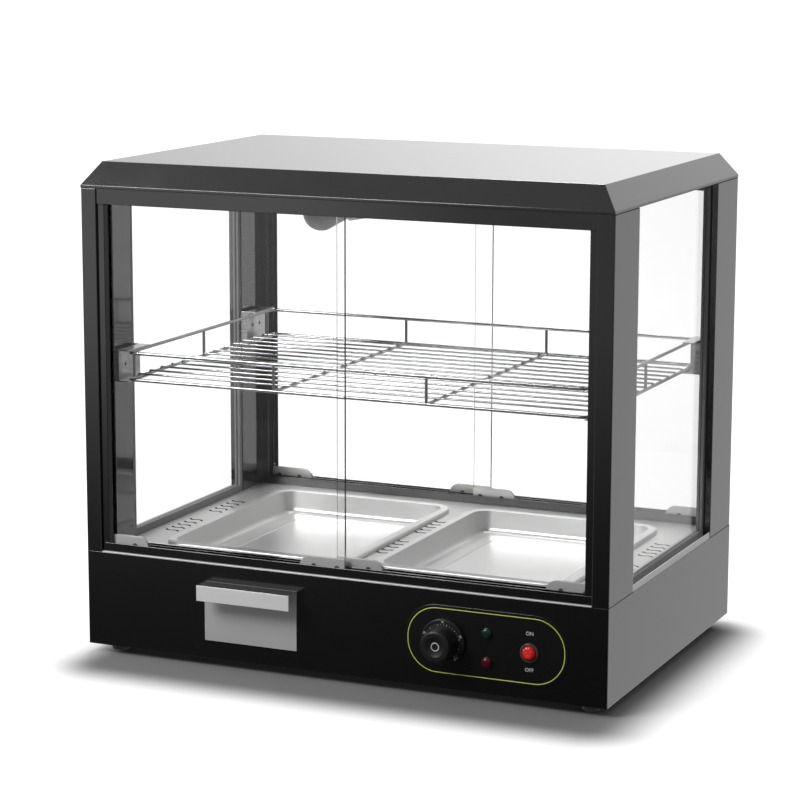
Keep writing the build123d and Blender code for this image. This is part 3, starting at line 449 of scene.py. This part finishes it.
def pressed(name, low, high):
    """Pressed sheet whose floor carries a raised line all round, and painted shade along the front
    edge.
    """
    steel = Finish(name)
    across, along, up = steel.parts(steel.place)
    floor_top = low.z + FLOOR_ABOVE_LOW
    middle = (low + high) / 2
    half = (high - low) / 2
    on_floor = steel.span(up, floor_top + 0.0005, floor_top + 0.002, 1.0, 0.0)
    straight = LINE_INSIDE + LINE_CORNER
    beside = (across.math("ABSOLUTE") - abs(middle.x)).math("ABSOLUTE") - (half.x - straight)
    before = (along - middle.y).math("ABSOLUTE") - (half.y - straight)
    beside = beside.math("MAXIMUM", 0.0)
    before = before.math("MAXIMUM", 0.0)
    edge = (beside * beside + before * before).math("SQRT") - LINE_CORNER
    line = steel.span(edge.math("ABSOLUTE"), 0.0, LINE_SOFTNESS, 1.0, 0.0)
    # Painted shade: the front rim of each pan is coloured a darker grey.
    front_rim_painted_shade = steel.span(along, low.y + RIM_SHADE_END, low.y + RIM_SHADE_START, 1.0, 0.0)
    wobble = steel.cloud(0.05, detail=2.0)
    scratch = steel.cloud(0.0008, (40.0, 1.0, 1.0), detail=3.0, rough=0.7)
    height = 8.0 * line * on_floor + 1.5 * wobble + 0.25 * scratch
    sheet = steel.mix(scratch, (0.86, 0.86, 0.85), (0.94, 0.94, 0.93))
    return steel.close(steel.shade(
        Base_Color=steel.mix(front_rim_painted_shade, sheet, (0.50, 0.50, 0.50)), Metallic=0.55,
        Roughness=0.27 + 0.12 * wobble, Normal=steel.bump(height, 0.00012, steel.bevel(0.0006))))


pan_low, pan_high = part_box("left_pan")
pan_steel = pressed("pan_steel", pan_low, pan_high)
print("pan from", tuple(round(v, 4) for v in pan_low))

# %% [markdown]
# The drawer's plate and its handle are one folded sheet. The lip in front is rougher than the
# plate and coloured lighter, which is painted light. The top of the handle is the smoothest, so
# that it mirrors the dark panel behind it. Both are set to match the photograph.

# %% Brush the drawer
def drawer_steel_finish(lip_y):
    steel = Finish("drawer_steel")
    _, along, _ = steel.parts(steel.place)
    _, facing, tilt = steel.parts(steel.add("ShaderNodeNewGeometry", output="True Normal"))
    lit_lip = (along < lip_y) * (facing < -0.7)
    top = tilt > 0.7
    scratch = steel.cloud(0.0005, ALONG_X, detail=4.0, rough=0.7)
    cloudy = steel.cloud(0.03, (2.0, 1.0, 1.0), detail=2.0)
    # Painted light: the lip in front is coloured lighter than the plate.
    colour = steel.mix(lit_lip, (0.72, 0.72, 0.72), (0.96, 0.96, 0.96))
    shade = steel.mix(0.5 * scratch + 0.5 * cloudy, (0.78, 0.78, 0.78), (1.0, 1.0, 1.0))
    mixed = steel.add("ShaderNodeMix", {"data_type": "RGBA", "blend_type": "MULTIPLY"},
                      {0: 1.0, 6: colour, 7: shade}, output=2)
    return steel.close(steel.shade(
        Base_Color=mixed, Metallic=0.25 - 0.15 * lit_lip + 0.7 * top,
        Roughness=0.34 + 0.12 * lit_lip - 0.22 * top + 0.1 * (scratch - 0.5),
        Normal=steel.bump(scratch, 0.00002, steel.bevel(0.0006))))


drawer_low, drawer_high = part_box("drawer_front")
LIP_SHEET = 0.0013
lip_back = drawer_low.y + LIP_SHEET
drawer_steel = drawer_steel_finish(lip_back)
print("drawer", round(drawer_high.x - drawer_low.x, 4), "m wide, lip in front of y",
      round(lip_back, 4))

# %% [markdown]
# ## Glass
#
# The panes are four-millimetre float glass. Light goes through them to the shelf without a
# shadow worth seeing, so shadow and diffuse rays meet a clear shader, and camera and mirror
# rays meet the glass, whose specular level is half the usual one to keep reflections of the
# shelf faint. A soft smear in the roughness breaks up the gloss. The bulb is opal glass, which
# is matt and scatters light a little way inside.

# %% Cut the panes
def clear_glass():
    glass = Finish("window_glass")
    path = glass.add("ShaderNodeLightPath")
    passing = path.out("Is Shadow Ray").math("MAXIMUM", path.out("Is Diffuse Ray"))
    smear = glass.cloud(0.12, (1.0, 1.0, 2.0), detail=4.0)
    pane = glass.shade(Base_Color=(1.0, 1.0, 1.0), Roughness=0.012 * smear, IOR=1.45,
                       Specular_IOR_Level=0.25, Transmission_Weight=1.0)
    clear = glass.add("ShaderNodeBsdfTransparent", inputs={"Color": (0.96, 0.97, 0.965)})
    return glass.close(glass.add("ShaderNodeMixShader", inputs={0: passing, 1: pane, 2: clear}))


def opal_glass():
    opal = Finish("frosted_glass")
    etch = opal.cloud(0.0006, detail=2.0)
    cloudy = opal.cloud(0.02, detail=2.0)
    return opal.close(opal.shade(
        Base_Color=opal.mix(cloudy, (0.50, 0.50, 0.49), (0.62, 0.62, 0.61)),
        Roughness=0.32 + 0.1 * etch, IOR=1.5, Subsurface_Weight=0.15,
        Subsurface_Radius=(0.004, 0.004, 0.004), Normal=opal.bump(etch, 0.00002)))


window_glass = clear_glass()
frosted_glass = opal_glass()
print("clear panes and an opal bulb")

# %% [markdown]
# ## Rubber, plastic and ceramic
#
# Moulded parts share one recipe: a base colour that drifts slightly, a fine grain from the
# tool, and a roughness that follows both. Only the numbers differ between a soft gasket, a
# hard knob and a glazed lamp holder. The printing inks use it too.

# %% Mould the small parts
def moulded(name, colour, rough, grain_size, grain_depth, drift=0.25):
    part = Finish(name)
    grain = part.cloud(grain_size, detail=2.0)
    patches = part.cloud(0.018, detail=2.0)
    paler = tuple(c * (1.0 + drift) + 0.004 for c in colour)
    return part.close(part.shade(
        Base_Color=part.mix(0.6 * patches + 0.4 * grain, colour, paler),
        Roughness=rough + 0.12 * (grain - 0.5) + 0.06 * patches,
        Normal=part.bump(grain, grain_depth, part.bevel(0.0004))))


grey_gasket = moulded("grey_gasket", (0.22, 0.22, 0.222), 0.5, 0.0012, 0.00004)
black_rubber = moulded("black_rubber", (0.013, 0.013, 0.013), 0.55, 0.0009, 0.00005)
black_plastic = moulded("black_plastic", (0.012, 0.012, 0.013), 0.34, 0.0007, 0.00003)
roller_nylon = moulded("roller_nylon", (0.06, 0.06, 0.062), 0.42, 0.0008, 0.00002)
terminal_plastic = moulded("terminal_plastic", (0.66, 0.62, 0.52), 0.4, 0.0008, 0.00002)
lamp_ceramic = moulded("lamp_ceramic", (0.70, 0.69, 0.66), 0.2, 0.002, 0.00002, 0.06)
bezel_plastic = moulded("bezel_plastic", (0.07, 0.055, 0.053), 0.22, 0.0006, 0.00001)
white_print = moulded("white_print", (0.74, 0.74, 0.73), 0.45, 0.0004, 0.000004, 0.1)
line_print = moulded("line_print", (0.66, 0.72, 0.12), 0.4, 0.0006, 0.000004, 0.3)
print("nine moulded and printed finishes")

# %% [markdown]
# The two lenses and the rocker are coloured clear plastic. The lenses look dark until they
# are lit, because their colour sits deep in the plastic, and the rocker is bright red. All
# three are moulded with small facets, and a cell pattern in the normal gives those flashes.

# %% Cast the lenses
def lens(name, deep, bright, facet, depth, rough):
    cast = Finish(name)
    cells = cast.add("ShaderNodeTexVoronoi", {"feature": "F1"},
                     {"Vector": cast.place, "Scale": 1.0 / facet, "Randomness": 0.6})
    swirl = cast.cloud(facet * 2.0, detail=1.0)
    return cast.close(cast.shade(
        Base_Color=cast.mix(0.5 * swirl + 0.5 * cells, deep, bright),
        Roughness=rough + 0.04 * swirl, IOR=1.5, Coat_Weight=0.6, Coat_Roughness=0.05,
        Normal=cast.bump(cells, depth)))


green_lens = lens("green_lens", (0.001, 0.022, 0.013), (0.003, 0.05, 0.03), 0.0016, 0.0002, 0.16)
red_lens = lens("red_lens", (0.06, 0.001, 0.008), (0.13, 0.003, 0.018), 0.0016, 0.0002, 0.16)
rocker_red = lens("rocker_red", (0.60, 0.003, 0.001), (1.0, 0.02, 0.002), 0.0022, 0.0008, 0.12)
print("lenses and rocker")

# %% [markdown]
# ## Dressing the parts
#
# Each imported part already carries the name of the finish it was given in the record, so
# dressing it is one look in a table. The pans, the clips, the deck and the bottom plate have
# finishes of their own in place of that.

# %% Give each part its finish
finishes = {m.name.removesuffix("_finish"): m for m in (
    black_enamel, label_enamel, stainless, drawer_steel, zinc_steel, heater_steel, screw_steel,
    bright_chrome, cap_metal, window_glass, frosted_glass, grey_gasket, black_rubber,
    black_plastic, roller_nylon, terminal_plastic, lamp_ceramic, green_lens, red_lens,
    bezel_plastic, rocker_red)}


def slot_name(part):
    """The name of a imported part's own finish, without the number of a second import."""
    return part.data.materials[0].name.split(".")[0]


for name, part in nodes.items():
    wanted = finishes[slot_name(part)]
    if name.endswith("_pan"):
        wanted = pan_steel
    if name.endswith("_clips"):
        wanted = clip_steel
    if name == "deck_panel":
        wanted = deck_steel
    if name == "bottom_plate":
        wanted = dark_zinc
    for slot in part.material_slots:
        slot.material = wanted
print(len(nodes), "parts dressed")

# %% [markdown]
# ## Recipes in Geometry Nodes
#
# Things that repeat, or that follow a line, come from Geometry Nodes. A `Recipe` is a tree
# with named inputs for its sizes. It always ends in Realize Instances and Set Material, and
# what it makes is copied to a plain mesh, so nothing live is left on the piece.

# %% A recipe for Geometry Nodes
SOCKETS = {int: "NodeSocketInt", float: "NodeSocketFloat", bpy.types.Object: "NodeSocketObject"}


class Recipe(Sheet):
    """A Geometry Nodes tree with named sizes, made into a plain mesh on request."""

    def __init__(self, name, **sizes):
        super().__init__(bpy.data.node_groups.new(name, "GeometryNodeTree"))
        face = self.tree.interface
        face.new_socket("Geometry", in_out="OUTPUT", socket_type="NodeSocketGeometry")
        face.new_socket("Geometry", in_out="INPUT", socket_type="NodeSocketGeometry")
        for key, value in sizes.items():
            kind = SOCKETS[bpy.types.Object if isinstance(value, bpy.types.Object) else type(value)]
            face.new_socket(key, in_out="INPUT", socket_type=kind)
        self.sizes = sizes
        self.given = self.tree.nodes.new("NodeGroupInput")

    def size(self, name):
        return Value(self, self.given, self.given.outputs[name])

    def make(self, geometry, material, places=None):
        """Ends the tree and returns what it makes as a new object at the origin."""
        whole = self.add("GeometryNodeRealizeInstances", inputs={0: geometry})
        dressed = self.add("GeometryNodeSetMaterial", inputs={0: whole, "Material": material})
        self.add("NodeGroupOutput", inputs={0: dressed})
        start = places or bpy.data.meshes.new("start")
        maker = bpy.data.objects.new("maker", start)
        scene.collection.objects.link(maker)
        modifier = maker.modifiers.new("recipe", "NODES")
        modifier.node_group = self.tree
        for item in self.tree.interface.items_tree:
            if item.name in self.sizes:
                modifier[item.identifier] = self.sizes[item.name]
        depsgraph = bpy.context.evaluated_depsgraph_get()
        mesh = bpy.data.meshes.new_from_object(maker.evaluated_get(depsgraph))
        bpy.data.objects.remove(maker)
        piece = bpy.data.objects.new(self.tree.name, mesh)
        scene.collection.objects.link(piece)
        return piece


def settle(piece, body):
    """Lets a finished piece ride with its body and prints how many faces it has."""
    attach(piece, body)
    print(piece.name, "has", len(piece.data.polygons), "faces")
    return piece


# %% [markdown]
# ## The printed line on the control plate
#
# A thin yellow-green line runs round the controls, a few millimetres inside the plate's
# edge. It is silk-screened paint, so it is nearly flat. A rectangle with filleted corners
# carries a tiny rectangular profile, which follows it as a brush would.

# %% Print the line round the controls
plate_low, plate_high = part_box("control_plate")
PLATE_FRONT = plate_low.y
LINE_WIDTH = 0.0011
LINE_RISE = 0.0002
LINE_INSET = 0.004
PLATE_CORNER = 0.040
line_x0, line_x1 = plate_low.x + LINE_INSET, plate_high.x - LINE_INSET
line_z0, line_z1 = plate_low.z + LINE_INSET, plate_high.z - LINE_INSET

line = Recipe("printed_line", width=line_x1 - line_x0, height=line_z1 - line_z0,
              corner=PLATE_CORNER - LINE_INSET, brush=LINE_WIDTH, rise=LINE_RISE)
outline = line.add("GeometryNodeCurvePrimitiveQuadrilateral", inputs={
    "Width": line.size("width"), "Height": line.size("height")})
rounded = line.add("GeometryNodeFilletCurve", {"mode": "POLY"}, {
    "Curve": outline, "Radius": line.size("corner"), "Count": 24})
profile = line.add("GeometryNodeCurvePrimitiveQuadrilateral", inputs={
    "Width": line.size("brush"), "Height": line.size("rise")})
strip = line.add("GeometryNodeCurveToMesh", inputs={"Curve": rounded, "Profile Curve": profile})
stood = line.add("GeometryNodeTransform", inputs={
    "Geometry": strip, "Rotation": (pi / 2, 0.0, 0.0),
    "Translation": ((line_x0 + line_x1) / 2, PLATE_FRONT, (line_z0 + line_z1) / 2)})
settle(line.make(stood, line_print), "cabinet")

# %% [markdown]
# ## The thermostat dial
#
# The knob's skirt carries white ticks and numbers for the temperature. The ticks repeat at
# equal angles, so a line of points is bent into an arc: each point's index gives its angle,
# and the same angle turns the tick. The numbers are text made into a mesh, printed flat.

# %% Mark the ticks on the dial
knob_low, knob_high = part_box("thermostat_knob")
DIAL_X = (knob_low.x + knob_high.x) / 2
DIAL_Z = (knob_low.z + knob_high.z) / 2
KNOB_GAP, SKIRT_HEIGHT = 0.0006, 0.004
SKIRT_FRONT = PLATE_FRONT - KNOB_GAP - SKIRT_HEIGHT
SWEEP = radians(270)
TICKS, TICKS_PER_LONG_ONE = 28, 3

dial = Recipe("dial_ticks", count=TICKS, sweep=SWEEP, radius=0.0212,
              length=0.0013, width=0.0005, rise=0.00012)
points = dial.add("GeometryNodeMeshLine", inputs={"Count": dial.size("count")})
index = dial.add("GeometryNodeInputIndex")
angle = dial.size("sweep") * (index / (dial.size("count") - 1) - 0.5)
ring_place = dial.vector(angle.math("SINE") * dial.size("radius"), 0.0,
                         angle.math("COSINE") * dial.size("radius"))
bent = dial.add("GeometryNodeSetPosition", inputs={"Geometry": points, "Position": ring_place})
major = (index.math("MODULO", float(TICKS_PER_LONG_ONE)) < 0.5)
tick = dial.add("GeometryNodeMeshCube", inputs={
    "Size": dial.vector(dial.size("width"), dial.size("rise"), dial.size("length"))})
placed = dial.add("GeometryNodeInstanceOnPoints", inputs={
    "Points": bent, "Instance": tick, "Rotation": dial.vector(0.0, angle, 0.0),
    "Scale": dial.vector(1.0 + 0.6 * major, 1.0, 0.6 + 0.4 * major)})
moved = dial.add("GeometryNodeTransform", inputs={
    "Geometry": placed, "Translation": (DIAL_X, SKIRT_FRONT, DIAL_Z)})
settle(dial.make(moved, white_print), "dial")


# %% Print the numbers
INK_RISE, INK_SPREAD = 0.00006, 0.00004


def printed(name, words, size, placements, material):
    """Flat letters as one mesh. Each placement is x, z, a turn about Y, and the y they lie on."""
    whole = bmesh.new()
    for text, (x, z, turn, y) in zip(words, placements):
        curve = bpy.data.curves.new("letters", "FONT")
        curve.body = text
        curve.size = size
        curve.align_x = "CENTER"
        curve.align_y = "CENTER"
        curve.extrude = INK_RISE
        curve.offset = INK_SPREAD
        curve.resolution_u = 4
        letters = bpy.data.objects.new("letters", curve)
        scene.collection.objects.link(letters)
        flat = bpy.data.meshes.new_from_object(
            letters.evaluated_get(bpy.context.evaluated_depsgraph_get()))
        flat.transform(Matrix.Translation((x, y, z)) @ Matrix.Rotation(turn, 4, "Y")
                       @ Matrix.Rotation(pi / 2, 4, "X"))
        whole.from_mesh(flat)
        bpy.data.objects.remove(letters)
    bmesh.ops.remove_doubles(whole, verts=whole.verts, dist=1e-7)
    mesh = bpy.data.meshes.new(name)
    whole.to_mesh(mesh)
    mesh.materials.append(material)
    piece = bpy.data.objects.new(name, mesh)
    scene.collection.objects.link(piece)
    return piece


LABELS = ["30", "50", "70", "90", "110"]
LABEL_RADIUS, LABEL_SIZE = 0.0238, 0.0035
dial_places = []
for i in range(len(LABELS)):
    turn = SWEEP * (i / (len(LABELS) - 1) - 0.5)
    dial_places.append((DIAL_X + LABEL_RADIUS * sin(turn), DIAL_Z + LABEL_RADIUS * cos(turn),
                        turn, SKIRT_FRONT))
settle(printed("dial_numbers", LABELS, LABEL_SIZE, dial_places, white_print),
       "dial")

switch_low, switch_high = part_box("switch_housing")
SWITCH_X = (switch_low.x + switch_high.x) / 2
SWITCH_Z = (switch_low.z + switch_high.z) / 2
ON_ABOVE, OFF_BELOW, WORD_SIZE = 0.0220, 0.0200, 0.0060
switch_places = [(SWITCH_X, SWITCH_Z + ON_ABOVE, 0.0, PLATE_FRONT),
                 (SWITCH_X, SWITCH_Z - OFF_BELOW, 0.0, PLATE_FRONT)]
settle(printed("switch_words", ["ON", "OFF"], WORD_SIZE, switch_places, white_print),
       "cabinet")

# %% [markdown]
# A plain ring marks the middle of the knob's face, a little way down in its dish. It is a
# circle that carries a tiny rectangular profile, like the line on the plate.

# %% Print the ring on the knob
RING_DEPTH = 0.0022
FACE_Y = knob_low.y + RING_DEPTH
ring = Recipe("knob_ring", radius=0.0046, brush=0.0012, rise=0.0002)
circle = ring.add("GeometryNodeCurvePrimitiveCircle", {"mode": "RADIUS"}, {
    "Resolution": 48, "Radius": ring.size("radius")})
profile = ring.add("GeometryNodeCurvePrimitiveQuadrilateral", inputs={
    "Width": ring.size("brush"), "Height": ring.size("rise")})
band = ring.add("GeometryNodeCurveToMesh", inputs={"Curve": circle, "Profile Curve": profile})
stood = ring.add("GeometryNodeTransform", inputs={
    "Geometry": band, "Rotation": (pi / 2, 0.0, 0.0), "Translation": (DIAL_X, FACE_Y, DIAL_Z)})
settle(ring.make(stood, white_print), "dial")

# %% [markdown]
# ## Cross-head screws
#
# Eight screws hold the shelf's brackets and three hold the rear panel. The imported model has
# plain heads there. A turned head is cut with two crossed boxes in Geometry Nodes, and one
# copy goes to each place, turned so that it faces out of its sheet.

# %% Turn one screw
def turned(name, profile, steps):
    """A closed shape of revolution about Z from radius and height pairs, bottom to top."""
    shape = bmesh.new()
    rings = []
    for radius, height in profile:
        if radius == 0.0:
            rings.append([shape.verts.new((0.0, 0.0, height))])
            continue
        turns = [2 * pi * i / steps for i in range(steps)]
        rings.append([shape.verts.new((radius * cos(a), radius * sin(a), height)) for a in turns])
    for low, high in zip(rings, rings[1:]):
        for i in range(steps):
            j = (i + 1) % steps
            quad = [low[i % len(low)], low[j % len(low)], high[j % len(high)], high[i % len(high)]]
            shape.faces.new(list(dict.fromkeys(quad)))
    bmesh.ops.recalc_face_normals(shape, faces=shape.faces)
    mesh = bpy.data.meshes.new(name)
    shape.to_mesh(mesh)
    return bpy.data.objects.new(name, mesh)


HEAD_RADIUS, HEAD_HEIGHT = 0.0036, 0.0022
SHANK_RADIUS, SHANK_LENGTH = 0.002, 0.008
dome = [(HEAD_RADIUS * cos(a), HEAD_HEIGHT * (0.35 + 0.65 * sin(a)))
        for a in (radians(d) for d in (0, 15, 30, 45, 60, 75))]
screw_profile = [(0.0, -SHANK_LENGTH), (SHANK_RADIUS, -SHANK_LENGTH), (SHANK_RADIUS, 0.0),
                 (HEAD_RADIUS, 0.0), *dome, (0.0, HEAD_HEIGHT)]
screw_blank = turned("screw_blank", screw_profile, 24)
scene.collection.objects.link(screw_blank)
print("screw blank has", len(screw_blank.data.polygons), "faces")


# %% Cut the cross and set the screws
SLOT_WIDTH, SLOT_LENGTH, SLOT_DEPTH = 0.0009, 0.0042, 0.0013


def screw_places(rows):
    """A mesh of loose points, each with the direction its screw faces."""
    mesh = bpy.data.meshes.new("screw_places")
    mesh.from_pydata([place for place, _ in rows], [], [])
    facing = mesh.attributes.new("facing", "FLOAT_VECTOR", "POINT")
    facing.data.foreach_set("vector", [c for _, way in rows for c in way])
    return mesh


def set_screws(name, rows):
    recipe = Recipe(name, blank=screw_blank, slot_width=SLOT_WIDTH, slot_length=SLOT_LENGTH,
                    depth=SLOT_DEPTH)
    blank = recipe.add("GeometryNodeObjectInfo", inputs={"Object": recipe.size("blank")},
                       output="Geometry")
    length, width = recipe.size("slot_length"), recipe.size("slot_width")
    depth = recipe.size("depth")
    cross = recipe.add("GeometryNodeJoinGeometry")
    for size in (recipe.vector(length, width, depth), recipe.vector(width, length, depth)):
        bar = recipe.add("GeometryNodeMeshCube", inputs={"Size": size})
        recipe.tree.links.new(bar.socket, cross.node.inputs[0])
    lifted = recipe.add("GeometryNodeTransform", inputs={
        "Geometry": cross, "Translation": (0.0, 0.0, HEAD_HEIGHT)})
    cut = recipe.add("GeometryNodeMeshBoolean", {"operation": "DIFFERENCE"})
    recipe.feed(cut.node.inputs["Mesh 1"], blank)
    recipe.feed(cut.node.inputs["Mesh 2"], lifted)
    facing = recipe.add("GeometryNodeInputNamedAttribute", {"data_type": "FLOAT_VECTOR"},
                        {"Name": "facing"})
    turn = recipe.add("FunctionNodeAlignRotationToVector", {"axis": "Z"}, {"Vector": facing})
    copies = recipe.add("GeometryNodeInstanceOnPoints", inputs={
        "Points": recipe.size("Geometry"), "Instance": cut, "Rotation": turn})
    return recipe.make(copies, screw_steel, screw_places(rows))


def solid_boxes(name):
    """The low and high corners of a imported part's separate solids, from its loose shells."""
    shape = bmesh.new()
    shape.from_mesh(nodes[name].data)
    bmesh.ops.remove_doubles(shape, verts=shape.verts, dist=1e-6)
    left, boxes = set(shape.verts), []
    while left:
        group, edge = set(), {left.pop()}
        while edge:
            vert = edge.pop()
            group.add(vert)
            edge |= {e.other_vert(vert) for e in vert.link_edges} - group
        left -= group
        lows = [min(v.co[i] for v in group) for i in range(3)]
        highs = [max(v.co[i] for v in group) for i in range(3)]
        boxes.append((Vector(lows), Vector(highs)))
    return boxes


shelf_rows = []
for low, high in solid_boxes("shelf_screws"):
    side = 1.0 if low.x > 0 else -1.0
    seat = (high.x - SHANK_LENGTH) if side > 0 else (low.x + SHANK_LENGTH)
    shelf_rows.append(((seat, (low.y + high.y) / 2, (low.z + high.z) / 2), (-side, 0.0, 0.0)))
piece = set_screws("shelf_cross_screws", shelf_rows)
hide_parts("shelf_screws")
settle(piece, "cabinet")

panel_rows = []
for low, high in solid_boxes("rear_panel_screws"):
    seat = ((low.x + high.x) / 2, high.y - HEAD_HEIGHT, (low.z + high.z) / 2)
    panel_rows.append((seat, (0.0, 1.0, 0.0)))
piece = set_screws("panel_cross_screws", panel_rows)
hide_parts("rear_panel_screws")
settle(piece, "cabinet")
bpy.data.objects.remove(screw_blank)
